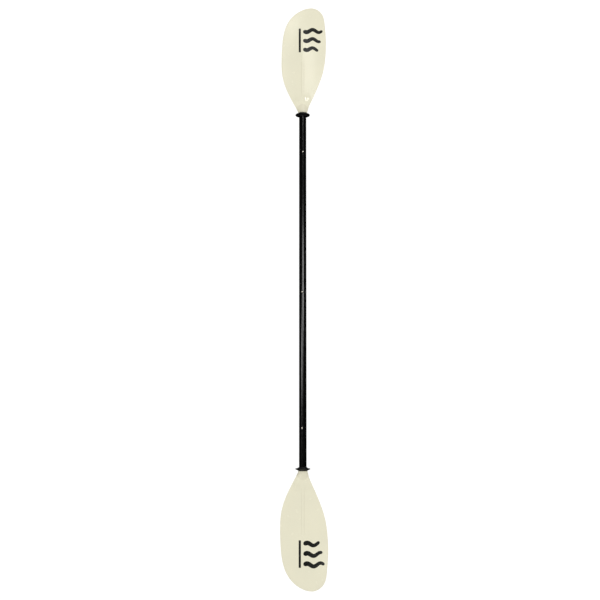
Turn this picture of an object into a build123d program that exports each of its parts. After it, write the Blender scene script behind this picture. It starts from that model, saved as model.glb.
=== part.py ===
"""Take-apart kayak paddle in four sections, lying with its power faces up.

Millimetres. +X runs along the shaft towards the left-hand blade, +Z is the power face's side, and -Y is the
side of the blades' longer edges. The origin is on the shaft's axis, halfway between the blades' tips.
"""

import math
import os

from build123d import *

# ---- Shaft ---------------------------------------------------------------------------------------------
PADDLE_LENGTH = 2284.0  # blade tip to blade tip
SHAFT_RADIUS = 14.3  # 28.6 mm (1 1/8 in) aluminium tube
TUBE_WALL = 1.25
TUBE_BORE = SHAFT_RADIUS - TUBE_WALL
TUBE_CHAMFER = 0.35
SEAM_GAP = 0.2  # between the ends of two tubes that are pushed together
# Each joint's seam, and the way its ferrule's free end points.
JOINTS = {"left": (499.0, 1), "centre": (20.0, -1), "right": (-503.0, -1)}

# ---- Ferrules: inner sleeves, bonded in one tube and slid into the next ----------------------------------
FERRULE_CLEARANCE = 0.06
FERRULE_RADIUS = TUBE_BORE - FERRULE_CLEARANCE
FERRULE_WALL = 1.5
FERRULE_BONDED = 60.0
FERRULE_FREE = 80.0
FERRULE_LEAD_IN = 0.8

# ---- Snap buttons ----------------------------------------------------------------------------------------
BUTTON_SETBACK = 42.0  # from the joint's seam
BUTTON_RADIUS = 3.95
BUTTON_TOP = SHAFT_RADIUS + 3.0  # heights are distances from the shaft's axis
BUTTON_ROUNDING = 1.6
FOOT_RADIUS = 4.7
FOOT_TOP = 10.1
FOOT_THICKNESS = 1.0
FERRULE_HOLE_RADIUS = 4.05
TUBE_HOLE_RADIUS = 4.15
FEATHER_ANGLE = 60.0
# Degrees that each button leans from straight up, towards the blades' shorter edges.
BUTTON_LEAN = {"left": 0.0, "centre": 9.0, "right": 13.0}

# ---- Button springs: a leaf bent back on itself inside each ferrule --------------------------------------
LEAF_THICKNESS = 0.8
LEAF_WIDTH = 7.6
LEAF_LENGTH = 34.0
LEAF_OVERHANG = 5.0
LEAF_TOP = FOOT_TOP - FOOT_THICKNESS - 0.02
LEAF_BOTTOM = -10.5
LEAF_BEND = 4.5

# ---- Blades ----------------------------------------------------------------------------------------------
BLADE_LENGTH = 436.8  # from the neck's end to the tip
TIP_X = PADDLE_LENGTH / 2
NECK_X = TIP_X - BLADE_LENGTH
NECK_RADIUS = 17.8
NECK_BEAD_RADIUS = 18.3  # a low bead around the neck's end
NECK_BEAD_LENGTH = 3.5
SOCKET_DEPTH = 30.0
SOCKET_RADIUS = SHAFT_RADIUS + 0.05
# The outline's two edges, as (distance from the neck's end, distance from the shaft's axis).
SHORT_EDGE = [
    (0, 15.5), (7, 19.3), (16, 24.0), (33, 32.8), (60, 46.9), (111, 69.7), (160, 82.2), (222, 85.2), (288, 82.1),
    (348, 71.2), (398, 43.5),
]
LONG_EDGE = [
    (0, 15.5), (7, 18.9), (16, 21.4), (33, 27.1), (60, 39.3), (111, 61.4), (172, 82.2), (236, 92.0), (300, 94.2),
    (363, 89.3), (411, 77.0),
]
TIP_OFFSET = 33.0  # how far the tip lies towards the longer edge
PLATE_THICKNESS = 3.6
PLATE_LEVEL = 5.0  # the power face's height at the neck
SPOON_RISE = 16.0  # how far the tip curves up
CUP = 0.0013  # the blade's upward curve from side to side
RIDGE_SLOPE = 0.14  # how steeply the two halves fall away from the centre ridge
RIDGE_SOFTNESS = 3.0
RIDGE_FADE = (235.0, 400.0)  # the ridge dies away between these distances from the neck
NECK_SLOPE = (29.0, 88.0)  # the neck's top runs down into the power face
SPINE_END = 335.0  # the spine under the blade runs out here
SPINE_END_WIDTH = 11.0

# ---- Drip rings ------------------------------------------------------------------------------------------
RING_RADIUS = 28.8
RING_LENGTH = 14.4
RING_BORE = SHAFT_RADIUS + 0.05
RING_HUB = 16.4
RING_LIP = 2.2
RING_LIP_CENTRE = 7.3  # from the face beside the blade
RING_NECK = (10.9, 20.0)  # where the flange's dished face meets the hub: distance from that face, radius
RING_GAP = 0.4  # between the ring and the blade

# ---- Foam plugs that keep each section afloat ------------------------------------------------------------
PLUG_RADIUS = TUBE_BORE - 0.05
PLUG_LENGTH = 60.0
GRIP_PLUG_X = 95.0
BLADE_PLUG_X = 625.0

SIDES = {"left": 1, "right": -1}


def across_shaft(x):
    """The plane square to the shaft at x: its own axes are +Y and +Z."""
    return Plane(origin=(x, 0, 0), x_dir=(0, 1, 0), z_dir=(1, 0, 0))


def across_button(x, lean, height):
    """The plane square to a button's axis, at a height above the shaft's axis."""
    outward = Vector(0, math.sin(math.radians(lean)), math.cos(math.radians(lean)))
    return Plane(origin=Vector(x, 0, 0) + outward * height, x_dir=(1, 0, 0), z_dir=outward)


def smooth_step(value, start, end):
    """Runs smoothly from 0 at start to 1 at end."""
    share = min(1.0, max(0.0, (value - start) / (end - start)))
    return share * share * (3 - 2 * share)


# ---- Tubes and ferrules ----------------------------------------------------------------------------------
def make_tube(name, x_start, x_end, outer, wall, end_chamfer, holes):
    """A round tube on the shaft's axis, with button holes given as (x, lean, radius)."""
    with BuildPart() as tube:
        with BuildSketch(across_shaft(x_start)):
            Circle(outer)
            Circle(outer - wall, mode=Mode.SUBTRACT)
        extrude(amount=x_end - x_start)
        rims = tube.edges().filter_by(GeomType.CIRCLE).filter_by(lambda edge: edge.radius > outer - wall / 2)
        chamfer(rims, end_chamfer)
        for x, lean, radius in holes:
            with BuildSketch(across_button(x, lean, 0)):
                Circle(radius)
            extrude(amount=outer + 1, mode=Mode.SUBTRACT)
    tube.part.label = name
    export_step(tube.part, f"parts/{name}.step")


def make_outer_tubes():
    """The four outer tubes: two grip tubes that meet at the centre, and one bonded into each blade."""
    socket_end = NECK_X + SOCKET_DEPTH - 1
    seam = {joint: x for joint, (x, way) in JOINTS.items()}
    hole_x = {joint: x + way * BUTTON_SETBACK for joint, (x, way) in JOINTS.items()}
    feather_leans = [BUTTON_LEAN["centre"] + turn for turn in (-FEATHER_ANGLE, 0, FEATHER_ANGLE)]
    feather_holes = [(hole_x["centre"], lean, TUBE_HOLE_RADIUS) for lean in feather_leans]
    left_holes = [(hole_x["left"], BUTTON_LEAN["left"], TUBE_HOLE_RADIUS)]
    right_holes = [(hole_x["right"], BUTTON_LEAN["right"], TUBE_HOLE_RADIUS)]
    gap = SEAM_GAP / 2
    for name, x_start, x_end, holes in [
        ("left_blade_tube", seam["left"] + gap, socket_end, left_holes),
        ("left_grip_tube", seam["centre"] + gap, seam["left"] - gap, []),
        ("right_grip_tube", seam["right"] + gap, seam["centre"] - gap, feather_holes),
        ("right_blade_tube", -socket_end, seam["right"] - gap, right_holes),
    ]:
        make_tube(name, x_start, x_end, SHAFT_RADIUS, TUBE_WALL, TUBE_CHAMFER, holes)


def make_ferrule(joint, seam, way):
    """The inner sleeve of one joint, with a lead-in at its ends and a hole for its button."""
    x_start, x_end = sorted((seam - way * FERRULE_BONDED, seam + way * FERRULE_FREE))
    hole = (seam + way * BUTTON_SETBACK, BUTTON_LEAN[joint], FERRULE_HOLE_RADIUS)
    make_tube(f"{joint}_ferrule", x_start, x_end, FERRULE_RADIUS, FERRULE_WALL, FERRULE_LEAD_IN, [hole])


# ---- Buttons and their springs ---------------------------------------------------------------------------
def make_button(joint, seam, way):
    """A steel push button with a rounded head and a wider foot that stays inside the ferrule."""
    x, lean = seam + way * BUTTON_SETBACK, BUTTON_LEAN[joint]
    with BuildPart() as button:
        with BuildSketch(across_button(x, lean, FOOT_TOP - FOOT_THICKNESS)):
            Circle(FOOT_RADIUS)
        extrude(amount=FOOT_THICKNESS)
        with BuildSketch(across_button(x, lean, FOOT_TOP)):
            Circle(BUTTON_RADIUS)
        extrude(amount=BUTTON_TOP - FOOT_TOP)
        outward = Axis((x, 0, 0), across_button(x, lean, 0).z_dir)
        fillet(button.edges().sort_by(outward)[-1], BUTTON_ROUNDING)
    button.part.label = f"{joint}_button"
    export_step(button.part, f"parts/{joint}_button.step")


def make_button_spring(joint, seam, way):
    """A bent leaf: its upper arm is under the button and its lower arm lies along the ferrule."""
    upright = across_button(seam + way * BUTTON_SETBACK, BUTTON_LEAN[joint], 0)
    side = Plane(origin=upright.origin, x_dir=(-way, 0, 0), z_dir=Vector(-way, 0, 0).cross(upright.z_dir))
    upper_arm = LEAF_TOP - LEAF_THICKNESS / 2
    lower_arm = LEAF_BOTTOM + LEAF_THICKNESS / 2
    route = [
        (-LEAF_OVERHANG, upper_arm),
        (LEAF_LENGTH, upper_arm),
        (LEAF_LENGTH, lower_arm),
        (LEAF_LENGTH / 3, lower_arm),
    ]
    with BuildPart() as spring:
        with BuildSketch(side):
            with BuildLine():
                FilletPolyline(*route, radius=LEAF_BEND)
            trace(line_width=LEAF_THICKNESS)
        extrude(amount=LEAF_WIDTH / 2, both=True)
    spring.part.label = f"{joint}_button_spring"
    export_step(spring.part, f"parts/{joint}_button_spring.step")


# ---- Blades ----------------------------------------------------------------------------------------------
def face_height(along, y):
    """The power face: a spoon along the blade, a cup across it, and a soft centre ridge."""
    spoon = SPOON_RISE * (max(0.0, along) / BLADE_LENGTH) ** 2.2
    slope = RIDGE_SLOPE * (1 - smooth_step(along, *RIDGE_FADE))
    ridge = slope * (math.hypot(y, RIDGE_SOFTNESS) - RIDGE_SOFTNESS)
    return PLATE_LEVEL + spoon + CUP * y * y - ridge


def make_plate():
    """The blade's plate: a curved slab cut to the blade's outline."""
    stations = [-6, 45, 95, 145, 195, 245, 295, 345, 395, 442]
    across = [-106, -75, -45, -20, -8, 0, 8, 20, 45, 75, 100]
    tip = (TIP_X, -TIP_OFFSET)
    with BuildPart() as plate:
        for along in stations:
            with BuildSketch(across_shaft(NECK_X + along)):
                with BuildLine():
                    face = Spline(*[(y, face_height(along, y)) for y in across])
                    back = Spline(*[(y, face_height(along, y) - PLATE_THICKNESS) for y in across])
                    Line(face @ 0, back @ 0)
                    Line(face @ 1, back @ 1)
                make_face()
        loft()
        with BuildSketch(Plane.XY.offset(-NECK_RADIUS)):
            with BuildLine():
                short = [(NECK_X + along, y) for along, y in SHORT_EDGE]
                long = [(NECK_X + along, -y) for along, y in LONG_EDGE]
                short_edge = Spline(*short, tip, tangents=[(1, 0.05), (0, -1)], tangent_scalars=[1, 1])
                long_edge = Spline(*long, tip, tangents=[(1, -0.05), (0, 1)], tangent_scalars=[1, 1])
                Line(short_edge @ 0, long_edge @ 0)
            make_face()
        extrude(amount=5 * NECK_RADIUS, mode=Mode.INTERSECT)
    return plate.part


def make_spine():
    """The round neck, and the spine under the blade that it tapers into."""
    stations = [0, 29, 36, 43, 50, 57, 64, 71, 79, 88, 110, 155, 210, 270, 331]
    with BuildPart() as spine:
        for along in stations:
            down = smooth_step(along, *NECK_SLOPE)
            top = NECK_RADIUS * (1 - down) + (face_height(along, 0) - 1.5) * down
            run = max(0.0, along - SOCKET_DEPTH) / (SPINE_END - SOCKET_DEPTH)
            depth = (1 - run) ** 1.2
            bottom = -NECK_RADIUS * depth + (face_height(along, 0) - PLATE_THICKNESS + 0.6) * (1 - depth)
            half_width = NECK_RADIUS + (SPINE_END_WIDTH / 2 - NECK_RADIUS) * run ** 0.8
            with BuildSketch(across_shaft(NECK_X + along)):
                with Locations((0, (top + bottom) / 2)):
                    Ellipse(half_width, (top - bottom) / 2)
        loft(ruled=True)
    return spine.part


def make_blades():
    """The left blade, and the right one as its mirror image."""
    plate = make_plate()
    spine = make_spine()
    with BuildPart() as left_blade:
        add(plate)
        add(spine)
        with BuildSketch(across_shaft(NECK_X)):
            Circle(NECK_BEAD_RADIUS)
        extrude(amount=NECK_BEAD_LENGTH)
        with BuildSketch(across_shaft(NECK_X)):
            Circle(SOCKET_RADIUS)
        extrude(amount=SOCKET_DEPTH, mode=Mode.SUBTRACT)
    with BuildPart() as right_blade:
        add(left_blade.part.mirror(Plane.YZ))
    left_blade.part.label = "left_blade"
    export_step(left_blade.part, "parts/left_blade.step")
    right_blade.part.label = "right_blade"
    export_step(right_blade.part, "parts/right_blade.step")


# ---- Drip rings and plugs --------------------------------------------------------------------------------
def make_drip_ring(side, way):
    """A rubber ring whose flange is a cone towards the blade, and dished behind its thin lip."""
    section = [
        (0, RING_BORE),
        (0, RING_HUB),
        (RING_LIP_CENTRE - RING_LIP / 2, RING_RADIUS),
        (RING_LIP_CENTRE + RING_LIP / 2, RING_RADIUS),
        RING_NECK,
        (RING_LENGTH, RING_HUB),
        (RING_LENGTH, RING_BORE),
    ]
    blade_face = NECK_X - RING_GAP
    with BuildPart() as ring:
        with BuildSketch(Plane.XY):
            with BuildLine():
                Polyline(*[(way * (blade_face - along), radius) for along, radius in section], close=True)
            make_face()
        revolve(axis=Axis.X)
    ring.part.label = f"{side}_drip_ring"
    export_step(ring.part, f"parts/{side}_drip_ring.step")


def make_plug(name, x_near, way):
    """A closed-cell foam plug pushed into a tube."""
    with BuildPart() as plug:
        with BuildSketch(across_shaft(min(way * x_near, way * (x_near + PLUG_LENGTH)))):
            Circle(PLUG_RADIUS)
        extrude(amount=PLUG_LENGTH)
    plug.part.label = name
    export_step(plug.part, f"parts/{name}.step")


os.makedirs("parts", exist_ok=True)
make_outer_tubes()
make_blades()
for joint, (seam, way) in JOINTS.items():
    make_ferrule(joint, seam, way)
    make_button(joint, seam, way)
    make_button_spring(joint, seam, way)
for side, way in SIDES.items():
    make_drip_ring(side, way)
    make_plug(f"{side}_grip_plug", GRIP_PLUG_X, way)
    make_plug(f"{side}_blade_plug", BLADE_PLUG_X, way)
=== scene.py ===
"""Looks for the take-apart kayak paddle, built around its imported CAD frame.

Metres, in the frame's own axes: +X along the shaft towards the left-hand blade, +Z out of the power faces,
and -Y towards the blades' longer edges. Shapes are worked out in millimetres and scaled once, where a mesh is
made. A place along a blade is counted from its neck's mouth towards its tip.
"""

import math

import bmesh
import bpy
import numpy as np
from mathutils import Matrix, Vector


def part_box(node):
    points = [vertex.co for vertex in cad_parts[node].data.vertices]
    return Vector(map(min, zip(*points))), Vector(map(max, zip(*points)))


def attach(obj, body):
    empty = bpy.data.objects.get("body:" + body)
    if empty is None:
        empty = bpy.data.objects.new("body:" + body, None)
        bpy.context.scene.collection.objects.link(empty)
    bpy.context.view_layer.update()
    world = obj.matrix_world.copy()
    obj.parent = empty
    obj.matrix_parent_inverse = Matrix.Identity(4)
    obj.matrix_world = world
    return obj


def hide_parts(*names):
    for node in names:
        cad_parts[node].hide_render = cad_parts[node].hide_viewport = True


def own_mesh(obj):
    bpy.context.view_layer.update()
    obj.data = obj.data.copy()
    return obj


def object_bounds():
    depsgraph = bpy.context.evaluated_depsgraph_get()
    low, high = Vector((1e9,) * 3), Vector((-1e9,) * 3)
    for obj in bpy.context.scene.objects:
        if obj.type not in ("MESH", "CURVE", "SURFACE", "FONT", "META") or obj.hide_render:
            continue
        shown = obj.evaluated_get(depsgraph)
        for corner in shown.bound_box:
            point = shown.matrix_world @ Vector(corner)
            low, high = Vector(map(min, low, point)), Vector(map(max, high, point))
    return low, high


MM = 0.001

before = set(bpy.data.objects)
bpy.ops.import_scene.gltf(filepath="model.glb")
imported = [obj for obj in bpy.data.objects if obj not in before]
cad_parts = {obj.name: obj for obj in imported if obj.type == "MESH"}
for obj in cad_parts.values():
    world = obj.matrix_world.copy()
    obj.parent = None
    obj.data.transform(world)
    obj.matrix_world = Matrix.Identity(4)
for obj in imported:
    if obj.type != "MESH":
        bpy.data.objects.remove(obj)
cad_low, cad_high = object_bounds()


def span(node, axis=0):
    """A CAD node's lowest and highest place along an axis, in millimetres."""
    low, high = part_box(node)
    return low[axis] / MM, high[axis] / MM


# ---- Sizes taken from the frame --------------------------------------------------------------------------
NECK_X, TIP = span("left_blade")
SHAFT_R = span("left_grip_tube", 2)[1]
FERRULE_R = span("centre_ferrule", 2)[1]
PLUG_R = span("left_grip_plug", 2)[1]
RING_R = span("left_drip_ring", 2)[1]
FLOOR = min(cad_low[2], (span("left_blade", 1)[0] - 6.0) * MM)  # 6 mm clear of a blade turned on its edge

# ---- Sizes of the real object that a box can't give, in millimetres and degrees --------------------------
TUBE_WALL = 1.25
TUBE_ROUNDING = 0.15  # of a tube's outer end edge
FERRULE_WALL = 1.5
FERRULE_ROUNDING = 0.8
GLUE_GAP = 0.05  # between the shaft and a socket or a ring
SOCKET_R = SHAFT_R + GLUE_GAP
SOCKET_DEPTH = 30.0
NECK_R = 17.8
BLADE_LENGTH = TIP - NECK_X
BUTTON_SETBACK = 42.0  # from a seam to its joint's button
BUTTON_R = 3.95
BUTTON_HOLE_R = 4.15
FERRULE_HOLE_R = 4.05
BUTTON_TOP = 17.3  # from the shaft's axis, as on the next two lines
FOOT_BOTTOM, FOOT_TOP = 9.1, 10.1
SPRING_UPPER, SPRING_LOWER = 8.68, -10.1
FOOT_R = 4.7
FEATHER = 60.0  # from one feather hole to the next
LEAN = {"left": 0.0, "centre": 9.0, "right": 13.0}  # a button's turn from +Z towards +Y
SEAM_GAP = 0.1  # from a seam to each tube's end
JOINTS = {  # each joint's seam, and the way from it to its button
    "left": (span("left_grip_tube")[1] + SEAM_GAP, 1),
    "centre": (span("left_grip_tube")[0] - SEAM_GAP, -1),
    "right": (span("right_grip_tube")[0] - SEAM_GAP, -1),
}
BUTTON_X = {joint: seam + way * BUTTON_SETBACK for joint, (seam, way) in JOINTS.items()}
SIDES = {"left": 1, "right": -1}


# ---- Mesh helpers ----------------------------------------------------------------------------------------
def make_object(name, points, faces, body, look, nodes=(), attributes=None, smooth=True):
    """A closed mesh from points in millimetres, riding on a body and standing for CAD nodes."""
    mesh = bpy.data.meshes.new(name)
    mesh.from_pydata([(x * MM, y * MM, z * MM) for x, y, z in points], [], faces)
    shape = bmesh.new()
    shape.from_mesh(mesh)
    bmesh.ops.recalc_face_normals(shape, faces=shape.faces)
    shape.to_mesh(mesh)
    shape.free()
    mesh.polygons.foreach_set("use_smooth", [smooth] * len(mesh.polygons))
    for key, values in (attributes or {}).items():
        layer = mesh.attributes.new(key, "FLOAT", "POINT")
        layer.data.foreach_set("value", np.array(values, np.float32))
    mesh.materials.append(look)
    piece = bpy.data.objects.new(name, mesh)
    bpy.context.scene.collection.objects.link(piece)
    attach(piece, body)
    if nodes:
        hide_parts(*nodes)
    return piece


def smooth_step(value, start, end):
    """0 before start, 1 after end, and a smooth rise between them."""
    share = min(1.0, max(0.0, (value - start) / (end - start)))
    return share * share * (3 - 2 * share)


def mix(a, b, share):
    """A value a share of the way from a to b."""
    return a + (b - a) * share


def soft_max(a, b, reach):
    """The larger of two heights, with a fillet where they meet."""
    gap = max(0.0, 1 - abs(a - b) / reach)
    return max(a, b) + gap * gap * reach / 4


def rounded(corners, steps=5):
    """A 2-D outline with round corners: corners are (x, y, radius)."""
    made = []
    for k, (x, y, radius) in enumerate(corners):
        if radius == 0 or k in (0, len(corners) - 1):
            made.append((x, y))
            continue
        here = Vector((x, y))
        back = Vector(corners[k - 1][:2]) - here
        ahead = Vector(corners[k + 1][:2]) - here
        half = back.angle(ahead) / 2
        reach = radius / math.tan(half)
        start = here + back.normalized() * reach
        end = here + ahead.normalized() * reach
        centre = here + (back.normalized() + ahead.normalized()).normalized() * (radius / math.sin(half))
        turn = (start - centre).angle_signed(end - centre)
        for step in range(steps + 1):
            spoke = (start - centre).copy()
            spoke.rotate(Matrix.Rotation(-turn * step / steps, 2))
            made.append(tuple(centre + spoke))
    return made


def lathe(profile, segments, centre=(0, 0, 0), along=(1, 0, 0)):
    """Points and faces of a closed turned shape: profile holds (distance along the axis, radius).

    A profile whose ends have no radius closes on itself at the axis; any other profile is a closed loop.
    """
    axis = Vector(along).normalized()
    side = axis.orthogonal().normalized()
    third = axis.cross(side)
    start = Vector(centre)
    points, rows = [], []
    for distance, radius in profile:
        if radius < 1e-6:
            rows.append([len(points)] * segments)
            points.append(start + axis * distance)
            continue
        rows.append(list(range(len(points), len(points) + segments)))
        for k in range(segments):
            turn = 2 * math.pi * k / segments
            spoke = side * math.cos(turn) + third * math.sin(turn)
            points.append(start + axis * distance + spoke * radius)
    pairs = list(zip(rows, rows[1:]))
    if profile[0][1] > 1e-6:
        pairs.append((rows[-1], rows[0]))
    faces = []
    for low, high in pairs:
        for k in range(segments):
            n = (k + 1) % segments
            face = list(dict.fromkeys([low[k], low[n], high[n], high[k]]))
            faces.append(face)
    return points, faces


# ---- Node looks ------------------------------------------------------------------------------------------
class Look:
    """A node material on one Principled shader, with object coordinates in metres."""

    def __init__(self, name, roughness, metallic=0.0, **sockets):
        self.material = bpy.data.materials.new(name)
        self.material.use_nodes = True
        self.tree = self.material.node_tree
        self.shader = self.tree.nodes["Principled BSDF"]
        self.shader.inputs["Roughness"].default_value = roughness
        self.shader.inputs["Metallic"].default_value = metallic
        for key, value in sockets.items():
            self.shader.inputs[key.replace("_", " ")].default_value = value
        self.place = self.node("ShaderNodeTexCoord").outputs["Object"]
        self.height = None

    def node(self, kind, inputs=None, **settings):
        """A new node with those settings: its inputs are numbers, colours or links."""
        made = self.tree.nodes.new(kind)
        for key, value in settings.items():
            setattr(made, key, value)
        for key, value in (inputs or {}).items():
            if isinstance(value, bpy.types.NodeSocket):
                self.tree.links.new(value, made.inputs[key])
            else:
                made.inputs[key].default_value = value
        return made

    def stretch(self, x, y, z):
        """The object's coordinates, scaled so that one unit is one feature."""
        return self.node("ShaderNodeMapping", {"Vector": self.place, "Scale": (x, y, z)}).outputs["Vector"]

    def noise(self, scale, detail=3.0, place=None, roughness=0.5):
        inputs = {"Vector": place or self.place, "Scale": scale, "Detail": detail, "Roughness": roughness}
        return self.node("ShaderNodeTexNoise", inputs).outputs["Fac"]

    def voronoi(self, scale, feature="F1", output="Distance", place=None):
        inputs = {"Vector": place or self.place, "Scale": scale}
        return self.node("ShaderNodeTexVoronoi", inputs, feature=feature).outputs[output]

    def remap(self, value, low, high, new_low=0.0, new_high=1.0):
        inputs = {0: value, 1: low, 2: high, 3: new_low, 4: new_high}
        return self.node("ShaderNodeMapRange", inputs).outputs[0]

    def math(self, operation, a, b=0.0):
        return self.node("ShaderNodeMath", {0: a, 1: b}, operation=operation).outputs[0]

    def attribute(self, name):
        return self.node("ShaderNodeAttribute", attribute_name=name).outputs["Fac"]

    def tint(self, a, b, share):
        inputs = {"Factor": share}
        made = self.node("ShaderNodeMix", inputs, data_type="RGBA")
        for socket, value in ((made.inputs[6], a), (made.inputs[7], b)):
            if isinstance(value, bpy.types.NodeSocket):
                self.tree.links.new(value, socket)
            else:
                socket.default_value = (*value, 1)
        return made.outputs[2]

    def set(self, socket, value):
        self.tree.links.new(value, self.shader.inputs[socket])

    def bump(self, height, depth, strength=1.0):
        """Adds relief: height is 0 to 1, and depth is its size in metres."""
        inputs = {"Height": height, "Distance": depth, "Strength": strength}
        if self.height is not None:
            inputs["Normal"] = self.height
        self.height = self.node("ShaderNodeBump", inputs).outputs["Normal"]
        self.set("Normal", self.height)


def nylon_look():
    """Ivory glass-filled nylon: flow mottling, fine moulding grain, and scuffs that gather at the edges.

    Painted shade darkens the wall over the black tube's end, and two faint grooves run beside the centre
    ridge, darkened with painted shade.
    """
    look = Look("ivory_nylon", 0.24, IOR=1.5)
    cloud = look.noise(9.0, 3.0)
    fleck = look.noise(420.0, 2.0)
    base = look.tint((0.826, 0.792, 0.607), (0.800, 0.770, 0.594), look.remap(cloud, 0.35, 0.65))
    base = look.tint(base, (0.850, 0.826, 0.672), look.remap(fleck, 0.60, 0.78, 0.0, 0.18))
    mouth = NECK_X * MM
    place = look.node("ShaderNodeSeparateXYZ", {0: look.place}).outputs
    out, side = look.math("ABSOLUTE", place[0]), look.math("ABSOLUTE", place[1])
    bowed = look.math("ADD", out, look.math("MULTIPLY", look.math("MULTIPLY", side, side), 30.0))
    # Painted shade: the wall over the tube's end, inside a curved boundary, is darkened in the colour
    socket = look.remap(bowed, mouth + 0.032, mouth + 0.035, 1.0, 0.0)
    base = look.tint(base, (0.640, 0.590, 0.450), look.math("MULTIPLY", socket, 0.32))
    # Painted shade: two faint grooves beside the centre ridge are darkened in the colour; the bump further
    # down gives their real relief
    beside = look.math("ABSOLUTE", look.math("SUBTRACT", side, 0.0052))
    begins = look.remap(out, mouth + 0.060, mouth + 0.090)
    run = look.math("MULTIPLY", begins, look.remap(out, mouth + 0.200, mouth + 0.245, 1.0, 0.0))
    line = look.math("MULTIPLY", look.remap(beside, 0.0004, 0.0018, 1.0, 0.0), run)
    base = look.tint(base, (0.62, 0.57, 0.42), look.math("MULTIPLY", line, 0.36))
    edge = look.attribute("edge")
    ragged = look.math("MULTIPLY", edge, look.remap(look.noise(160.0, 4.0), 0.42, 0.66))
    base = look.tint(base, (0.50, 0.455, 0.345), look.math("MULTIPLY", ragged, 0.45))
    scratch = look.remap(look.noise(1.0, 4.0, look.stretch(30.0, 700.0, 300.0), 0.7), 0.68, 0.74)
    base = look.tint(base, (0.87, 0.85, 0.72), look.math("MULTIPLY", scratch, 0.08))
    look.set("Base Color", base)
    rough = look.remap(look.noise(60.0, 4.0), 0.3, 0.7, 0.21, 0.28)
    rough = look.math("ADD", rough, look.math("MULTIPLY", ragged, 0.22))
    rough = look.math("ADD", rough, look.math("MULTIPLY", scratch, 0.10))
    look.set("Roughness", rough)
    look.bump(look.noise(700.0, 3.0), 0.00004, 0.5)
    look.bump(look.noise(1.0, 3.0, look.stretch(22.0, 45.0, 45.0)), 0.0004, 0.15)
    look.bump(line, -0.0003, 0.5)
    look.bump(scratch, -0.00003, 0.4)
    return look.material


def anodised_look():
    """Black anodised drawn tube: draw lines along it, and handling marks."""
    look = Look("black_anodised_tube", 0.18, IOR=1.5)
    drawn = look.noise(1.0, 4.0, look.stretch(6.0, 1400.0, 1400.0), 0.6)
    rubbed = look.remap(look.noise(1.0, 5.0, look.stretch(9.0, 60.0, 60.0), 0.65), 0.56, 0.74)
    speck = look.remap(look.noise(900.0, 2.0), 0.66, 0.74)
    base = look.tint((0.0012, 0.0012, 0.0012), (0.0032, 0.0032, 0.0030), look.remap(drawn, 0.35, 0.65))
    base = look.tint(base, (0.010, 0.010, 0.010), look.math("MULTIPLY", rubbed, 0.35))
    base = look.tint(base, (0.022, 0.022, 0.022), look.math("MULTIPLY", speck, 0.30))
    look.set("Base Color", base)
    rough = look.remap(drawn, 0.3, 0.7, 0.14, 0.20)
    look.set("Roughness", look.math("ADD", rough, look.math("MULTIPLY", rubbed, 0.07)))
    look.bump(drawn, 0.000006, 0.35)
    return look.material


def composite_look():
    """Charcoal glass-filled sleeve: matte, with turned rings and rub marks."""
    look = Look("charcoal_composite", 0.5, IOR=1.5)
    turned = look.noise(1.0, 3.0, look.stretch(900.0, 12.0, 12.0), 0.6)
    rubbed = look.remap(look.noise(1.0, 4.0, look.stretch(12.0, 120.0, 120.0)), 0.55, 0.7)
    base = look.tint((0.030, 0.030, 0.033), (0.044, 0.044, 0.047), look.remap(turned, 0.35, 0.65))
    base = look.tint(base, (0.085, 0.085, 0.088), look.math("MULTIPLY", rubbed, 0.5))
    look.set("Base Color", base)
    look.set("Roughness", look.math("SUBTRACT", look.remap(turned, 0.3, 0.7, 0.46, 0.58),
                                    look.math("MULTIPLY", rubbed, 0.12)))
    look.bump(turned, 0.00004, 0.4)
    return look.material


def steel_look(name, colour, dark, rough_low, rough_high, grain):
    """Steel with small pits and brushing: grain holds the brushing's scale on each axis."""
    look = Look(name, rough_low, 1.0)
    brushed = look.noise(1.0, 4.0, look.stretch(*grain), 0.6)
    pit = look.remap(look.noise(1500.0, 2.0), 0.68, 0.76)
    base = look.tint(colour, dark, look.remap(brushed, 0.35, 0.7, 0.0, 0.6))
    base = look.tint(base, (0.12, 0.11, 0.10), look.math("MULTIPLY", pit, 0.5))
    look.set("Base Color", base)
    look.set("Roughness", look.remap(brushed, 0.3, 0.7, rough_low, rough_high))
    look.bump(brushed, 0.00001, 0.4)
    return look.material


def rubber_look():
    """Moulded black rubber: fine mottle and a little bloom."""
    look = Look("black_rubber", 0.6, IOR=1.5)
    mottle = look.noise(220.0, 4.0, roughness=0.6)
    bloom = look.remap(look.noise(38.0, 4.0), 0.45, 0.72)
    grain = look.noise(1500.0, 2.0)
    base = look.tint((0.0016, 0.0016, 0.0014), (0.0042, 0.0042, 0.0038), look.remap(mottle, 0.35, 0.65))
    base = look.tint(base, (0.012, 0.012, 0.0105), look.math("MULTIPLY", bloom, 0.30))
    look.set("Base Color", base)
    look.set("Roughness", look.remap(mottle, 0.3, 0.7, 0.52, 0.68))
    look.bump(mottle, 0.00006, 0.4)
    look.bump(grain, 0.00002, 0.4)
    return look.material


def foam_look():
    """Grey closed-cell foam: cut cells, with darker pores."""
    look = Look("grey_closed_cell_foam", 0.92, IOR=1.4)
    cell = look.voronoi(900.0)
    wide = look.noise(70.0, 3.0)
    base = look.tint((0.66, 0.66, 0.64), (0.52, 0.52, 0.50), look.remap(cell, 0.15, 0.75))
    base = look.tint(base, (0.72, 0.72, 0.70), look.remap(wide, 0.45, 0.7, 0.0, 0.5))
    look.set("Base Color", base)
    look.set("Roughness", look.remap(cell, 0.0, 0.8, 0.85, 0.97))
    look.bump(cell, -0.0003, 0.8)
    return look.material


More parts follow.
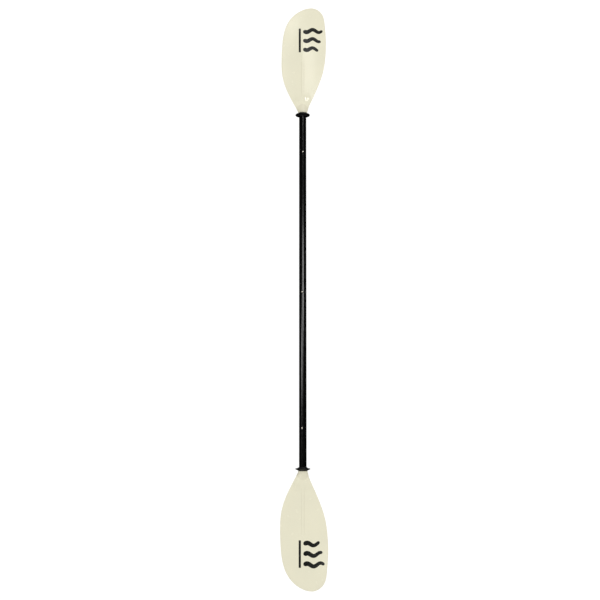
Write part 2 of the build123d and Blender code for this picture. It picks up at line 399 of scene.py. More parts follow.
def ink_look():
    """Black pad-printed ink: thin, glossy, with pinholes."""
    look = Look("black_print", 0.3, IOR=1.5)
    patch = look.noise(120.0, 4.0)
    pin = look.remap(look.noise(1300.0, 2.0), 0.70, 0.76)
    base = look.tint((0.0055, 0.0072, 0.0042), (0.0085, 0.0105, 0.0065), look.remap(patch, 0.35, 0.65))
    base = look.tint(base, (0.20, 0.19, 0.15), look.math("MULTIPLY", pin, 0.20))
    look.set("Base Color", base)
    look.set("Roughness", look.remap(patch, 0.3, 0.7, 0.25, 0.36))
    look.bump(patch, 0.00002, 0.3)
    return look.material


NYLON = nylon_look()
ANODISED = anodised_look()
COMPOSITE = composite_look()
STAINLESS = steel_look(
    "brushed_stainless", (0.92, 0.87, 0.74), (0.74, 0.70, 0.60), 0.18, 0.30, (900.0, 60.0, 60.0)
)
SPRING = steel_look(
    "rolled_spring_steel", (0.50, 0.49, 0.47), (0.36, 0.35, 0.34), 0.30, 0.45, (40.0, 900.0, 900.0)
)
RUBBER = rubber_look()
FOAM = foam_look()
INK = ink_look()


# ---- Tubes and ferrules ----------------------------------------------------------------------------------
AROUND = 72
CELL = 1.25  # along the tube, beside a hole
LONG_CELL = 24.0  # the most along the rest of the tube
BLOCK = 5  # cells from a hole's centre to its patch's edge
SUPPORT = 0.5  # a ring this far from a rounded end keeps the long cells' shading straight
BORE_ROUNDING = 0.15
RIM_MARGIN = 0.25  # around a hole, and down from each skin, where its rounded rim ends
RIM_CORNER = 0.07, 0.06  # the middle of that rim: how far out, and how far down


def cylinder_point(x, turn, radius):
    """A place on a cylinder about the shaft's axis: a turn goes from +Z towards +Y."""
    return (x, radius * math.sin(turn), radius * math.cos(turn))


def hole_ring(x, lean, hole_radius, radius, count):
    """A button hole's rim where it meets a cylinder of that radius."""
    ring = []
    for k in range(count):
        turn = 2 * math.pi * k / count
        across = hole_radius * math.sin(turn)
        along = x + hole_radius * math.cos(turn)
        ring.append(cylinder_point(along, lean + math.asin(across / radius), radius))
    return ring


def block_edge():
    """Cell offsets (along, around) of the patch's edge, in the same order as hole_ring."""
    edge = [(BLOCK, k) for k in range(BLOCK)]
    edge += [(BLOCK - k, BLOCK) for k in range(2 * BLOCK)]
    edge += [(-BLOCK, BLOCK - k) for k in range(2 * BLOCK)]
    edge += [(-BLOCK + k, -BLOCK) for k in range(2 * BLOCK)]
    edge += [(BLOCK, -BLOCK + k) for k in range(BLOCK)]
    return edge


def make_sleeve(name, body, look, node, outer, wall, rounding, holes):
    """A tube with rounded ends and round holes, all in quads: holes holds (x, lean in degrees, radius)."""
    low, high = span(node)
    inner = outer - wall
    base = math.radians(holes[0][1]) if holes else 0.0
    points, faces = [], []

    def add(new):
        points.extend(new)
        return list(range(len(points) - len(new), len(points)))

    def bridge(first, second):
        for k in range(len(first)):
            n = (k + 1) % len(first)
            faces.append([first[k], first[n], second[n], second[k]])

    centres = sorted({x for x, lean, radius in holes})
    skins = []
    for radius, inset in ((outer, rounding), (inner, BORE_ROUNDING)):
        marks = [low + inset, low + inset + SUPPORT]
        for x in centres:
            marks += [x + CELL * k for k in range(-BLOCK, BLOCK + 1)]
        marks += [high - inset - SUPPORT, high - inset]
        stations = []
        for a, b in zip(marks, marks[1:]):
            parts = max(1, math.ceil((b - a) / LONG_CELL))
            stations += [mix(a, b, k / parts) for k in range(parts)]
        stations.append(marks[-1])
        rows = [
            add([cylinder_point(x, base + 2 * math.pi * k / AROUND, radius) for k in range(AROUND)])
            for x in stations
        ]
        gone = set()
        edges = []
        for x, lean, hole_radius in holes:
            column = round((math.radians(lean) - base) / (2 * math.pi) * AROUND)
            row = min(range(len(stations)), key=lambda k: abs(stations[k] - x))
            for i in range(-BLOCK, BLOCK):
                for j in range(-BLOCK, BLOCK):
                    gone.add((row + i, (column + j) % AROUND))
            loop = [rows[row + i][(column + j) % AROUND] for i, j in block_edge()]
            lean = math.radians(lean)
            count = len(loop)
            near = hole_ring(x, lean, hole_radius + RIM_MARGIN, radius, count)
            middle = []
            for k in range(count):
                away, close = Vector(points[loop[k]]), Vector(near[k])
                spot = (away + close) / 2
                flat = Vector((0, spot.y, spot.z)).normalized() * radius
                middle.append((spot.x, flat.y, flat.z))
            between = add(middle)
            rim = add(near)
            bridge(loop, between)
            bridge(between, rim)
            edges.append(rim)
        for i in range(len(rows) - 1):
            for j in range(AROUND):
                if (i, j) not in gone:
                    n = (j + 1) % AROUND
                    faces.append([rows[i][j], rows[i][n], rows[i + 1][n], rows[i + 1][j]])
        skins.append((rows, edges))
    for number, (x, lean, hole_radius) in enumerate(holes):
        lean = math.radians(lean)
        count = 8 * BLOCK
        wider, deeper = RIM_CORNER
        steps = [
            (hole_radius + wider, outer - deeper), (hole_radius, outer - RIM_MARGIN),
            (hole_radius, inner + RIM_MARGIN), (hole_radius + wider, inner + deeper),
        ]
        last = skins[0][1][number]
        for wide, radius in steps:
            ring = add(hole_ring(x, lean, wide, radius, count))
            bridge(last, ring)
            last = ring
        bridge(last, skins[1][1][number])
    for end, way in ((0, 1), (-1, -1)):
        edge_x = low if way == 1 else high
        last = skins[0][0][end]
        steps = []
        for k in (1, 2, 3):
            turn = math.radians(30 * k)
            steps.append((rounding * (1 - math.sin(turn)), outer - rounding * (1 - math.cos(turn))))
        steps += [(0.0, inner + BORE_ROUNDING), (0.3 * BORE_ROUNDING, inner + 0.3 * BORE_ROUNDING)]
        for inset, radius in steps:
            ring = add([cylinder_point(edge_x + way * inset, base + 2 * math.pi * k / AROUND, radius)
                        for k in range(AROUND)])
            bridge(last, ring)
            last = ring
        bridge(last, skins[1][0][end])
    return make_object(name, points, faces, body, look, [node])


tube_holes = {
    "left_grip_tube": [],
    "right_grip_tube": [
        (BUTTON_X["centre"], LEAN["centre"] + turn, BUTTON_HOLE_R) for turn in (-FEATHER, 0, FEATHER)
    ],
    "left_blade_tube": [(BUTTON_X["left"], LEAN["left"], BUTTON_HOLE_R)],
    "right_blade_tube": [(BUTTON_X["right"], LEAN["right"], BUTTON_HOLE_R)],
}
tube_bodies = {
    "left_grip_tube": "left_grip",
    "right_grip_tube": "right_grip",
    "left_blade_tube": "left_blade_section",
    "right_blade_tube": "right_blade_section",
}
for node, holes in tube_holes.items():
    make_sleeve(f"{node}_drawn", tube_bodies[node], ANODISED, node, SHAFT_R, TUBE_WALL,
                TUBE_ROUNDING, holes)

joint_bodies = {"left": "left_grip", "centre": "left_grip", "right": "right_grip"}
for joint in JOINTS:
    hole = (BUTTON_X[joint], LEAN[joint], FERRULE_HOLE_R)
    make_sleeve(f"{joint}_ferrule_sleeve", joint_bodies[joint], COMPOSITE,
                f"{joint}_ferrule", FERRULE_R, FERRULE_WALL, FERRULE_ROUNDING, [hole])


# ---- Buttons and springs ---------------------------------------------------------------------------------
def outward(joint):
    """The way that a joint's button points."""
    lean = math.radians(LEAN[joint])
    return Vector((0, math.sin(lean), math.cos(lean)))


def make_button(joint):
    """A turned button: domed head, straight stem and a wider foot."""
    dome = [(BUTTON_TOP - 0.62 * (r / 3.0) ** 2, r) for r in (0.0, 0.6, 1.2, 1.8, 2.4, 2.9)]
    shoulder = [(BUTTON_TOP - 0.85, 3.28), (BUTTON_TOP - 1.15, 3.6), (BUTTON_TOP - 1.6, 3.83)]
    stem = [(BUTTON_TOP - 2.1, BUTTON_R), (FOOT_TOP + 0.35, BUTTON_R), (FOOT_TOP + 0.1, BUTTON_R + 0.07)]
    foot = [
        (FOOT_TOP, BUTTON_R + 0.2), (FOOT_TOP, FOOT_R - 0.15), (FOOT_TOP - 0.05, FOOT_R - 0.04),
        (FOOT_TOP - 0.15, FOOT_R), (FOOT_BOTTOM + 0.15, FOOT_R), (FOOT_BOTTOM + 0.04, FOOT_R - 0.05),
        (FOOT_BOTTOM, FOOT_R - 0.2), (FOOT_BOTTOM, 2.0), (FOOT_BOTTOM, 0.0),
    ]
    points, faces = lathe(dome + shoulder + stem + foot, 64, (BUTTON_X[joint], 0, 0), outward(joint))
    make_object(f"{joint}_button_head", points, faces, f"{joint}_button", STAINLESS,
                [f"{joint}_button"])


def make_spring(joint, way):
    """A bent leaf: the upper arm carries the button, and the lower arm lies along the ferrule."""
    start, bend, reach, cell, end_share = -5.0, 4.5, 34.0, 4.0, 0.86
    route = rounded([
        (start, SPRING_UPPER, 0), (reach, SPRING_UPPER, bend), (reach, SPRING_LOWER, bend),
        (reach / 3, SPRING_LOWER, 0),
    ], 8)
    fine = []
    for a, b in zip(route, route[1:]):
        parts = max(1, round(math.dist(a, b) / cell))
        fine += [(mix(a[0], b[0], k / parts), mix(a[1], b[1], k / parts)) for k in range(parts)]
    fine.append(route[-1])
    up = outward(joint)
    side = Vector((1, 0, 0)).cross(up)
    x = BUTTON_X[joint]
    half_thick, half_wide, round_edge = 0.4, 3.8, 0.14
    section = [
        (half_wide, half_thick - round_edge), (half_wide - round_edge * 0.3, half_thick - round_edge * 0.3),
        (half_wide - round_edge, half_thick),
    ]
    section += [(2.5, half_thick), (0.0, half_thick), (-2.5, half_thick)]
    section += [(-w, t) for w, t in reversed(section[:3])]
    section += [(w, -t) for w, t in reversed(section)]
    points, faces, rows = [], [], []
    for k, spot in enumerate(fine):
        ahead = Vector(fine[min(k + 1, len(fine) - 1)]) - Vector(fine[max(k - 1, 0)])
        ahead.normalize()
        normal = Vector((-ahead.y, ahead.x))
        shrink = end_share if k in (0, len(fine) - 1) else 1.0
        row = []
        for wide, thick in section:
            flat = Vector(spot) + normal * thick * shrink
            row.append(len(points))
            points.append(Vector((x - way * flat.x, 0, 0)) + up * flat.y + side * (wide * shrink))
        rows.append(row)
    count = len(section)
    for low, high in zip(rows, rows[1:]):
        for k in range(count):
            n = (k + 1) % count
            faces.append([low[k], low[n], high[n], high[k]])
    faces += [rows[0], rows[-1][::-1]]
    piece = make_object(f"{joint}_leaf_spring", points, faces, joint_bodies[joint], SPRING,
                        [f"{joint}_button_spring"], smooth=True)
    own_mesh(piece)


for joint, (_, way) in JOINTS.items():
    make_button(joint)
    make_spring(joint, way)


# ---- Drip rings and foam plugs ---------------------------------------------------------------------------
def make_ring(side, way):
    """A rubber drip ring: a thin rounded lip on a cone, dished on the hand side, with a bead on its hub."""
    low, high = span(f"{side}_drip_ring")
    blade_face = high if way == 1 else low
    bore, hub, length = SOCKET_R, 16.4, high - low
    corners = [
        (length / 2, bore, 0), (0.0, bore, 0.5), (0.0, hub, 0.45), (2.7, 21.0, 2.0),
        (6.0, RING_R - 0.75, 1.2), (6.5, RING_R, 0.75), (8.0, RING_R, 0.7), (8.5, RING_R - 1.1, 0.8),
        (10.5, 20.6, 2.6), (11.6, 17.4, 1.5), (12.3, 16.1, 0.6), (12.8, 16.1, 0.4), (13.1, hub, 0.3),
        (length, hub, 0.6), (length, bore, 0.45), (length / 2 + 0.1, bore, 0),
    ]
    profile = [(way * (-along), radius) for along, radius in rounded(corners, 5)]
    points, faces = lathe(profile, 112, (blade_face, 0, 0), (1, 0, 0))
    make_object(f"{side}_drip_ring_rubber", points, faces, f"{side}_drip_ring", RUBBER,
                [f"{side}_drip_ring"])


def make_plug(node, body):
    """A foam plug: a slightly uneven cut cylinder with soft corners."""
    low, high = span(node)
    length = high - low
    soft, parts, unevenness = 1.6, 12, 0.12
    corners = [(0.0, 0.0, 0), (0.0, PLUG_R, soft), (length, PLUG_R, soft), (length, 0.0, 0)]
    outline = rounded(corners, 5)
    profile = [outline[0], (0.0, PLUG_R * 0.5)] + outline[1:7]
    profile += [(mix(soft, length - soft, k / parts), PLUG_R) for k in range(1, parts)]
    profile += outline[7:-1] + [(length, PLUG_R * 0.5), outline[-1]]
    points, faces = lathe(profile, 64, (low, 0, 0), (1, 0, 0))
    uneven = []
    for point in points:
        turn = math.atan2(point.y, point.z)
        sag = unevenness * (1 + math.sin(3 * turn + point.x * 0.11) * math.sin(point.x * 0.17 + turn))
        radius = math.hypot(point.y, point.z)
        share = (radius - sag * radius / PLUG_R) / radius if radius > 1e-6 else 1.0
        uneven.append((point.x, point.y * share, point.z * share))
    piece = make_object(f"{node}_foam", uneven, faces, body, FOAM, [node])


for side, way in SIDES.items():
    make_ring(side, way)
    make_plug(f"{side}_grip_plug", f"{side}_grip")
    make_plug(f"{side}_blade_plug", f"{side}_blade_section")


# ---- Blades ----------------------------------------------------------------------------------------------
NECK_START = 4.4  # where the bead ends and the blade's own skin begins
SHORT_EDGE = [  # (along, away from the centre line)
    (NECK_START, NECK_R), (7, 19.3), (16, 24.0), (33, 32.8), (60, 46.9), (111, 69.7), (160, 82.2),
    (222, 85.2), (288, 82.1), (348, 71.2), (398, 43.5),
]
LONG_EDGE = [
    (NECK_START, NECK_R), (7, 18.9), (16, 21.4), (33, 27.1), (60, 39.3), (111, 61.4), (172, 82.2),
    (236, 92.0), (300, 94.2), (363, 89.3), (411, 77.0),
]
TIP_OFFSET = 33.0  # of the tip, towards the longer edge
TIP_INSET = 0.06  # keeps the tip inside the CAD's box
BEAD_R = 18.3
PLATE = 3.6  # the plate's thickness
RIM = 1.55  # the rim's rounding
THIN_SHARE, THIN_REACH = 0.80, 26.0  # how thin the plate gets beside its rim, and how far in that starts
FILLET_START, FILLET = 0.02, 3.4  # where the neck and the spine meet the plate
FLANK = 9.0  # how steeply the neck and the spine fall away beyond their sides
SETTLED, ROUND_TO = 16, 13  # along: where the plate has left the axis, and where the neck stops being round
PLATE_LEVEL, SPOON_RISE, SPOON_POWER, CUP = 5.0, 16.0, 2.2, 0.0013  # the power face's form
RIDGE_SLOPE, RIDGE_ROUND, RIDGE_END = 0.14, 3.0, (235, 400)  # the soft ridge on the centre line
STRIP_HEIGHT, STRIP_EDGE = 0.45, (4.1, 5.6)  # the flat raised strip along that ridge
STRIP_START, STRIP_END = (57, 90), (194, 244)
V_HEIGHT, V_WIDTH = 0.7, 2.2  # the V-shaped bead where the socket ends
V_TURN, V_ARMS = (44, 10), ((54, 36), (66, 8.5))
NECK_SLOPE = 29, 88  # along: where the neck comes down to the power face
SPINE_END, SPINE_END_R, SPINE_WIDEST = 335.0, 5.5, 34.0
WEAR_WIDTH, NECK_WEAR, WEAR_RISE = 3.2, 0.25, (120, 400)  # scuffs at the rim, fewer towards the neck
LINES = 170  # rows of cells along an edge
INNER, RIM_STEPS = 20, 5  # cells across the face and around the rim
NECK_CELLS = 11  # of the inner ones, over the neck
ACROSS = INNER + RIM_STEPS
SPREAD, SPREAD_POWER = (30, 110), 1.45  # where the cells across become finer towards the centre line
FOLD, FOLD_RUN, FOLD_POWER = 300.0, 76.0, 1.8  # the centre line's rows close up beyond here
FOLD_SIDE, FOLD_BEND = -17.0, (315, 378)  # and it bends towards the tip


def clamped_spline(points, start, end, count, dense=4000):
    """A smooth curve through points with those end directions, as count + 1 points, closer near its start."""
    knots = np.array(points, float)
    gaps = np.linalg.norm(np.diff(knots, axis=0), axis=1)
    place = np.concatenate([[0], np.cumsum(gaps)])
    size = len(knots)
    matrix = np.zeros((size, size))
    right = np.zeros((size, 2))
    matrix[0, 0] = matrix[-1, -1] = 1
    right[0] = np.array(start) / np.linalg.norm(start)
    right[-1] = np.array(end) / np.linalg.norm(end)
    for k in range(1, size - 1):
        before, after = gaps[k - 1], gaps[k]
        matrix[k, k - 1 : k + 2] = [after, 2 * (before + after), before]
        slope_before = (knots[k] - knots[k - 1]) / before
        slope_after = (knots[k + 1] - knots[k]) / after
        right[k] = 3 * (after * slope_before + before * slope_after)
    slopes = np.linalg.solve(matrix, right)
    t = np.linspace(0, place[-1], dense)
    index = np.clip(np.searchsorted(place, t, side="right") - 1, 0, size - 2)
    width = gaps[index][:, None]
    u = ((t - place[index])[:, None]) / width
    curve = (
        (2 * u**3 - 3 * u**2 + 1) * knots[index]
        + (u**3 - 2 * u**2 + u) * width * slopes[index]
        + (-2 * u**3 + 3 * u**2) * knots[index + 1]
        + (u**3 - u**2) * width * slopes[index + 1]
    )
    steps = np.concatenate([[0], np.cumsum(np.linalg.norm(np.diff(curve, axis=0), axis=1))])
    share = np.linspace(0, 1, count + 1)
    wanted = steps[-1] * (0.45 * share + 0.55 * share**1.35)
    return np.stack([np.interp(wanted, steps, curve[:, k]) for k in (0, 1)], axis=1)


def face_height(along, y):
    """The power face: a spoon along the blade, a cup across it, and a soft centre ridge."""
    spoon = SPOON_RISE * (max(0.0, along) / BLADE_LENGTH) ** SPOON_POWER
    slope = RIDGE_SLOPE * (1 - smooth_step(along, *RIDGE_END))
    ridge = slope * (math.hypot(y, RIDGE_ROUND) - RIDGE_ROUND)
    return PLATE_LEVEL + spoon + CUP * y * y - ridge


def apart(spot, start, end):
    """The distance from a spot to a straight line between two ends."""
    run = (end[0] - start[0], end[1] - start[1])
    share = ((spot[0] - start[0]) * run[0] + (spot[1] - start[1]) * run[1]) / (run[0] ** 2 + run[1] ** 2)
    share = min(1.0, max(0.0, share))
    return math.dist(spot, (start[0] + run[0] * share, start[1] + run[1] * share))


def face_detail(along, y):
    """Raised lines of the moulding: a flat strip on the centre ridge, and a bead where the socket ends."""
    strip = smooth_step(along, *STRIP_START) * (1 - smooth_step(along, *STRIP_END))
    height = STRIP_HEIGHT * strip * (1 - smooth_step(abs(y), *STRIP_EDGE))
    away = min(apart((along, abs(y)), V_TURN, end) for end in V_ARMS)
    return height + V_HEIGHT * math.exp(-((away / V_WIDTH) ** 2))


def spine(along, y):
    """The socket and the spine: its centre's height, half its height, and half widths above and below."""
    face = face_height(along, 0)
    down = smooth_step(along, *NECK_SLOPE)
    top = NECK_R * (1 - down) + (face - 1.5) * down - 3.0 * smooth_step(along, 80, 130)
    run = min(1.0, max(0.0, along - SOCKET_DEPTH) / (SPINE_END - SOCKET_DEPTH))
    depth = (1 - run) ** 1.2
    bottom = -NECK_R * depth + (face - PLATE + 0.6) * (1 - depth)
    below = NECK_R + (SPINE_END_R - NECK_R) * run**0.8
    edge = np.array(SHORT_EDGE if y > 0 else LONG_EDGE)
    reach = float(np.interp(along, edge[:, 0], edge[:, 1]))
    above = max(NECK_R, mix(reach - 1.5, min(reach - 3.0, SPINE_WIDEST), smooth_step(along, 20, 60)))
    return (top + bottom) / 2, (top - bottom) / 2, above, below


def blade_heights(along, y, depth_in):
    """Top and bottom of the blade at a place, depth_in from its rim."""
    face = face_height(along, y)
    bottom_face = face - PLATE
    settled = smooth_step(along, NECK_START, SETTLED)
    middle = (face + bottom_face) / 2 * settled
    half = (face - bottom_face) / 2
    inward = min(1.0, depth_in / RIM)
    curve = math.sqrt(max(0.0, 1 - (1 - inward) ** 2))
    thin = mix(THIN_SHARE, 1.0, smooth_step(depth_in, RIM, THIN_REACH))
    top, bottom = middle + half * curve * thin, middle - half * curve * thin
    centre, rise, above, below = spine(along, y)
    reach = FILLET_START + FILLET * smooth_step(along, NECK_START, 18)

    def hump(half_width, way):
        share = abs(y) / half_width
        if share >= 1:
            return centre - way * FLANK * (abs(y) - half_width)
        return centre + way * rise * math.sqrt(1 - share * share)

    detail = face_detail(along, y) * smooth_step(depth_in, RIM, 3 * RIM)
    top = soft_max(top, hump(above, 1), reach) + detail
    return top, -soft_max(-bottom, -hump(below, -1), reach), middle


def blade_grid():
    """Plan points of one blade: for each side, line and step from the centre line out to the rim."""
    tip = (BLADE_LENGTH - TIP_INSET, -TIP_OFFSET)
    short = clamped_spline([*SHORT_EDGE, tip], (1, 0.4), (0, -1), LINES)
    long = clamped_spline([(a, -y) for a, y in LONG_EDGE] + [tip], (1, -0.3), (0, 1), LINES)
    centre = (short + long) / 2
    for spot in centre:
        beyond = max(0.0, (spot[0] - FOLD) / (BLADE_LENGTH - FOLD))
        if beyond > 0:
            spot[0] = FOLD + FOLD_RUN * (1 - (1 - min(1.0, beyond)) ** FOLD_POWER)
        spot[1] = FOLD_SIDE * smooth_step(spot[0], *FOLD_BEND)
    grid = {}
    for side, edge in ((1, short), (-1, long)):
        tangent = np.gradient(edge, axis=0)
        normal = np.stack([tangent[:, 1], -tangent[:, 0]], axis=1) * side
        normal /= np.linalg.norm(normal, axis=1)[:, None]
        normal[0] = (0, -side)
        for i in range(LINES + 1):
            along = edge[i, 0]
            inner = edge[i] + normal[i] * RIM
            gap = inner - centre[i]
            width = float(np.linalg.norm(gap))
            body = min(NECK_R, 0.93 * width)
            far = smooth_step(along, *SPREAD)
            circle = 1 - smooth_step(along, NECK_START, ROUND_TO)
            for j in range(ACROSS + 1):
                if j <= INNER:
                    if j <= NECK_CELLS:
                        near = body / width * math.sin(math.pi / 2 * j / NECK_CELLS)
                    else:
                        near = mix(body / width, 1.0, (j - NECK_CELLS) / (INNER - NECK_CELLS))
                    share = mix(near, (j / INNER) ** SPREAD_POWER, far)
                    spot = centre[i] + gap * share
                else:
                    turn = math.pi / 2 * (j - INNER) / RIM_STEPS
                    spot = edge[i] + normal[i] * RIM * (1 - math.sin(turn))
                x, y = spot
                x = mix(x, along, circle)
                y = mix(y, edge[i, 1] * math.sin(math.pi / 2 * j / ACROSS), circle)
                away = math.dist((x, y), edge[i]) if j > INNER - 3 else width * 0.3
                if j <= INNER:
                    away = max(RIM, math.dist((x, y), edge[i]))
                grid[side, i, j] = (x, y, away)
    return grid


def make_blade(side, way, grid):
    """One blade as a single skin: power face, back, round rim, spine, the neck's bead and the socket."""
    points, faces, edge_wear = [], [], []
    index = {}

    def vertex(layer, half, i, j):
        if j == ACROSS:
            layer = 0
        if j == 0 or i == LINES:
            half = 1
        key = (layer, half, i, j)
        if key not in index:
            along, y, away = grid[half, i, j]
            top, bottom, middle = blade_heights(along, y, away if j > INNER else max(RIM, away))
            height = {1: top, -1: bottom, 0: middle}[layer]
            index[key] = len(points)
            points.append((way * (NECK_X + along), y, height))
            tipward = smooth_step(along, *WEAR_RISE)
            edge_wear.append(math.exp(-away / WEAR_WIDTH) * mix(NECK_WEAR, 1.0, tipward))
        return index[key]

    for layer in (1, -1):
        for half in (1, -1):
            for i in range(LINES):
                for j in range(ACROSS):
                    ring = [
                        vertex(layer, half, i, j), vertex(layer, half, i + 1, j),
                        vertex(layer, half, i + 1, j + 1), vertex(layer, half, i, j + 1),
                    ]
                    faces.append(list(dict.fromkeys(ring)))
    loop = [vertex(1, 1, 0, j) for j in range(ACROSS + 1)]
    loop += [vertex(-1, 1, 0, j) for j in range(ACROSS - 1, -1, -1)]
    loop += [vertex(-1, -1, 0, j) for j in range(1, ACROSS + 1)]
    loop += [vertex(1, -1, 0, j) for j in range(ACROSS - 1, 0, -1)]
    turns = [math.atan2(points[k][1], points[k][2]) for k in loop]
    mouth = rounded([
        (NECK_START, NECK_R, 0), (3.9, NECK_R, 0.5), (3.4, BEAD_R, 0.5), (0.0, BEAD_R, 1.3),
        (0.0, SOCKET_R, 0.5), (SOCKET_DEPTH, SOCKET_R, 0.3), (SOCKET_DEPTH, 0.0, 0),
    ], 4)
    last = loop
    for along, radius in mouth[1:]:
        if radius < 1e-6:
            points.append((way * (NECK_X + along), 0, 0))
            edge_wear.append(0.0)
            tip = len(points) - 1
            faces.extend([last[k], last[(k + 1) % len(last)], tip] for k in range(len(last)))
            break
        new = []
        for turn in turns:
            new.append(len(points))
            points.append((way * (NECK_X + along), radius * math.sin(turn), radius * math.cos(turn)))
            edge_wear.append(0.0)
        for k in range(len(last)):
            n = (k + 1) % len(last)
            faces.append([last[k], last[n], new[n], new[k]])
        last = new
    body = f"{side}_blade_section"
    return make_object(f"{side}_blade_moulding", points, faces, body, NYLON, [f"{side}_blade"],
                       {"edge": edge_wear})


WAVES = (344.0, 77.0), (307.0, 70.0), (270.0, 60.0)  # where each starts along the blade, and its reach
INK_TOP, INK_BOTTOM = 0.07, -0.25  # from the face: the underside is sunk into the blade
FAR_IN = 40.0  # a distance from the rim that is past the rim's rounding


def round_end(distance, radius):
    """The share of a band's full width at a distance from its rounded end."""
    return max(0.12, math.sqrt(1 - (1 - min(1.0, distance / radius)) ** 2))


def print_band(path, steps_across=4):
    """A band on the power face, as rows of plan points: path holds (along, y, half width)."""
    rows = []
    for k, (along, y, half_width) in enumerate(path):
        before, after = path[max(k - 1, 0)], path[min(k + 1, len(path) - 1)]
        ahead = Vector((after[0] - before[0], after[1] - before[1])).normalized()
        normal = Vector((-ahead.y, ahead.x))
        rows.append([
            (along + normal.x * w, y + normal.y * w)
            for w in [half_width * (2 * s / steps_across - 1) for s in range(steps_across + 1)]
        ])
    return rows


def wave_path(start, reach):
    """A wave from the centre line towards the longer edge, narrower and a little lower at its far end."""
    height, length, fall, count = 5.5, 50.0, 4.0, 90
    first_width, last_width, first_y = 9.0, 5.6, -3.0
    path = []
    for k in range(count + 1):
        share = k / count
        along = start - height * math.sin(2 * math.pi * share * reach / length) - fall * share
        wide = mix(first_width, last_width, share)
        end = reach * min(share, 1 - share)
        path.append((along, first_y - reach * share, wide * round_end(end, wide)))
    return path


def bar_path():
    """A plain bar beside the centre line, with its rows closer together near its ends."""
    low, high, wide, corner, y, count = 254.0, 353.0, 4.2, 1.5, 11.5, 80
    path = []
    for k in range(count + 1):
        along = mix(low, high, (1 - math.cos(math.pi * k / count)) / 2)
        path.append((along, y, wide * round_end(min(along - low, high - along), corner)))
    return path


def make_print(side, way):
    """Generic decoration in ink: three waves and a bar, laid on the power face."""
    bands = [print_band(wave_path(start, reach)) for start, reach in WAVES]
    bands.append(print_band(bar_path()))
    points, faces = [], []
    for rows in bands:
        layers = []
        for lift in (INK_TOP, INK_BOTTOM):
            layer = []
            for row in rows:
                line = []
                for along, y in row:
                    line.append(len(points))
                    height = blade_heights(along, y, FAR_IN)[0]
                    points.append((way * (NECK_X + along), y, height + lift))
                layer.append(line)
            layers.append(layer)
        top, bottom = layers
        for i in range(len(top) - 1):
            for j in range(len(top[0]) - 1):
                for layer in layers:
                    faces.append([layer[i][j], layer[i + 1][j], layer[i + 1][j + 1], layer[i][j + 1]])
        rim = [(i, 0) for i in range(len(top))] + [(len(top) - 1, j) for j in range(1, len(top[0]))]
        rim += [(i, len(top[0]) - 1) for i in range(len(top) - 2, -1, -1)]
        rim += [(0, j) for j in range(len(top[0]) - 2, 0, -1)]
        for (i, j), (m, n) in zip(rim, rim[1:] + rim[:1]):
            faces.append([top[i][j], top[m][n], bottom[m][n], bottom[i][j]])
    make_object(f"{side}_blade_print", points, faces, f"{side}_blade_section", INK, smooth=False)


plan = blade_grid()
for side, way in SIDES.items():
    make_blade(side, way, plan)
    make_print(side, way)


# ---- Floor, light and camera, in metres and degrees ------------------------------------------------------
FILL = 0.99  # the room's even light on matt surfaces
ROOM_IN_GLOSS = 0.006  # the room as reflections see it
FLOOR_GLOW = 0.78
CAMERA_TIP = 8.309
CAMERA_PLACE = -0.5549, 0.0107, 3.448
LENS = 53.75  # millimetres, on a 36 mm sensor
SOFTBOXES = (  # name, place, target, width, height, radiance, and what it works on
    ("strip_left", (0.64, -0.72, 3.5), (0.64, -0.72, 0.0), 0.72, 2.6, 6.2, "gloss"),
    ("strip_right", (0.055, 2.0, 3.4), (0.055, 2.0, 0.0), 0.46, 2.8, 6.4, "gloss"),
    ("left_blade_gloss", (2.12, -0.62, 3.5), (2.12, -0.62, 0.0), 0.6, 0.75, 4.2, "gloss"),
    ("left_neck_gloss", (2.95, -1.18, 0.79), (0.755, 0.0, 0.0), 0.5, 0.5, 48.0, "gloss"),
    ("overhead", (1.0, -0.6, 3.4), (1.0, -0.6, 0.0), 2.0, 2.0, 0.45, "matt"),
)


def make_floor():
    """A wide pale floor that glows a little, as a lit table does, so that shadows stay faint."""
    cells, half = 8, 30.0
    places = [-half + 2 * half * k / cells for k in range(cells + 1)]
    points = [(x, y, FLOOR) for x in places for y in places]
    row = cells + 1
    corners = [i * row + j for i in range(cells) for j in range(cells)]
    faces = [(k, k + row, k + row + 1, k + 1) for k in corners]
    mesh = bpy.data.meshes.new("floor")
    mesh.from_pydata(points, [], faces)
    look = Look("pale_floor", 0.9)
    tone = look.tint((0.30, 0.30, 0.30), (0.31, 0.31, 0.31), look.noise(3.0, 2.0))
    look.set("Base Color", tone)
    look.shader.inputs["Emission Color"].default_value = (1, 1, 1, 1)
    look.shader.inputs["Emission Strength"].default_value = FLOOR_GLOW
    mesh.materials.append(look.material)
    floor = bpy.data.objects.new("floor", mesh)
    bpy.context.scene.collection.objects.link(floor)
    floor.visible_glossy = False


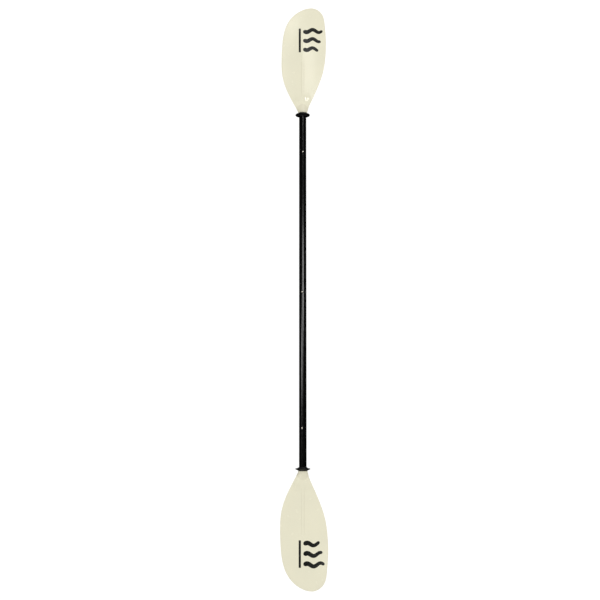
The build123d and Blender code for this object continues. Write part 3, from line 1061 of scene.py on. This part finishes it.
def softbox(name, place, target, wide, tall, radiance, seen_in):
    """A rectangular light of that radiance, facing its target, for gloss only or for matt surfaces only."""
    data = bpy.data.lights.new(name, "AREA")
    data.shape = "RECTANGLE"
    data.size, data.size_y = wide, tall
    data.energy = radiance * math.pi * wide * tall
    box = bpy.data.objects.new(name, data)
    bpy.context.scene.collection.objects.link(box)
    box.location = place
    box.rotation_euler = (Vector(target) - Vector(place)).to_track_quat("-Z", "Y").to_euler()
    box.visible_camera = False
    box.visible_diffuse = seen_in == "matt"
    box.visible_glossy = seen_in == "gloss"


def make_world():
    """White where the camera sees it, a soft fill on every surface, and nearly dark in reflections."""
    world = bpy.data.worlds.new("studio")
    bpy.context.scene.world = world
    world.use_nodes = True
    tree = world.node_tree
    background = tree.nodes["Background"]
    path = tree.nodes.new("ShaderNodeLightPath")
    tone = (FILL, FILL, FILL, 1)
    for ray, level in (("Is Glossy Ray", ROOM_IN_GLOSS), ("Is Camera Ray", 1.0)):
        room = tree.nodes.new("ShaderNodeMix")
        room.data_type = "RGBA"
        if isinstance(tone, tuple):
            room.inputs[6].default_value = tone
        else:
            tree.links.new(tone, room.inputs[6])
        room.inputs[7].default_value = (level, level, level, 1)
        tree.links.new(path.outputs[ray], room.inputs["Factor"])
        tone = room.outputs[2]
    tree.links.new(tone, background.inputs["Color"])


def make_camera():
    """Above the shaft's right half, looking straight down but tipped a little towards the left-hand blade."""
    tip = math.radians(CAMERA_TIP)
    look_along = Vector((math.sin(tip), 0, -math.cos(tip)))
    up = Vector((math.cos(tip), 0, math.sin(tip)))
    right = look_along.cross(up)
    data = bpy.data.cameras.new("camera")
    data.sensor_width = 36.0
    data.lens = LENS
    data.clip_end = 200.0
    camera = bpy.data.objects.new("camera", data)
    bpy.context.scene.collection.objects.link(camera)
    turn = Matrix((right, up, -look_along)).transposed()
    camera.matrix_world = Matrix.Translation(CAMERA_PLACE) @ turn.to_4x4()
    bpy.context.scene.camera = camera


make_floor()
make_world()
make_camera()
for settings in SOFTBOXES:
    softbox(*settings)
bpy.context.scene.view_settings.view_transform = "Standard"
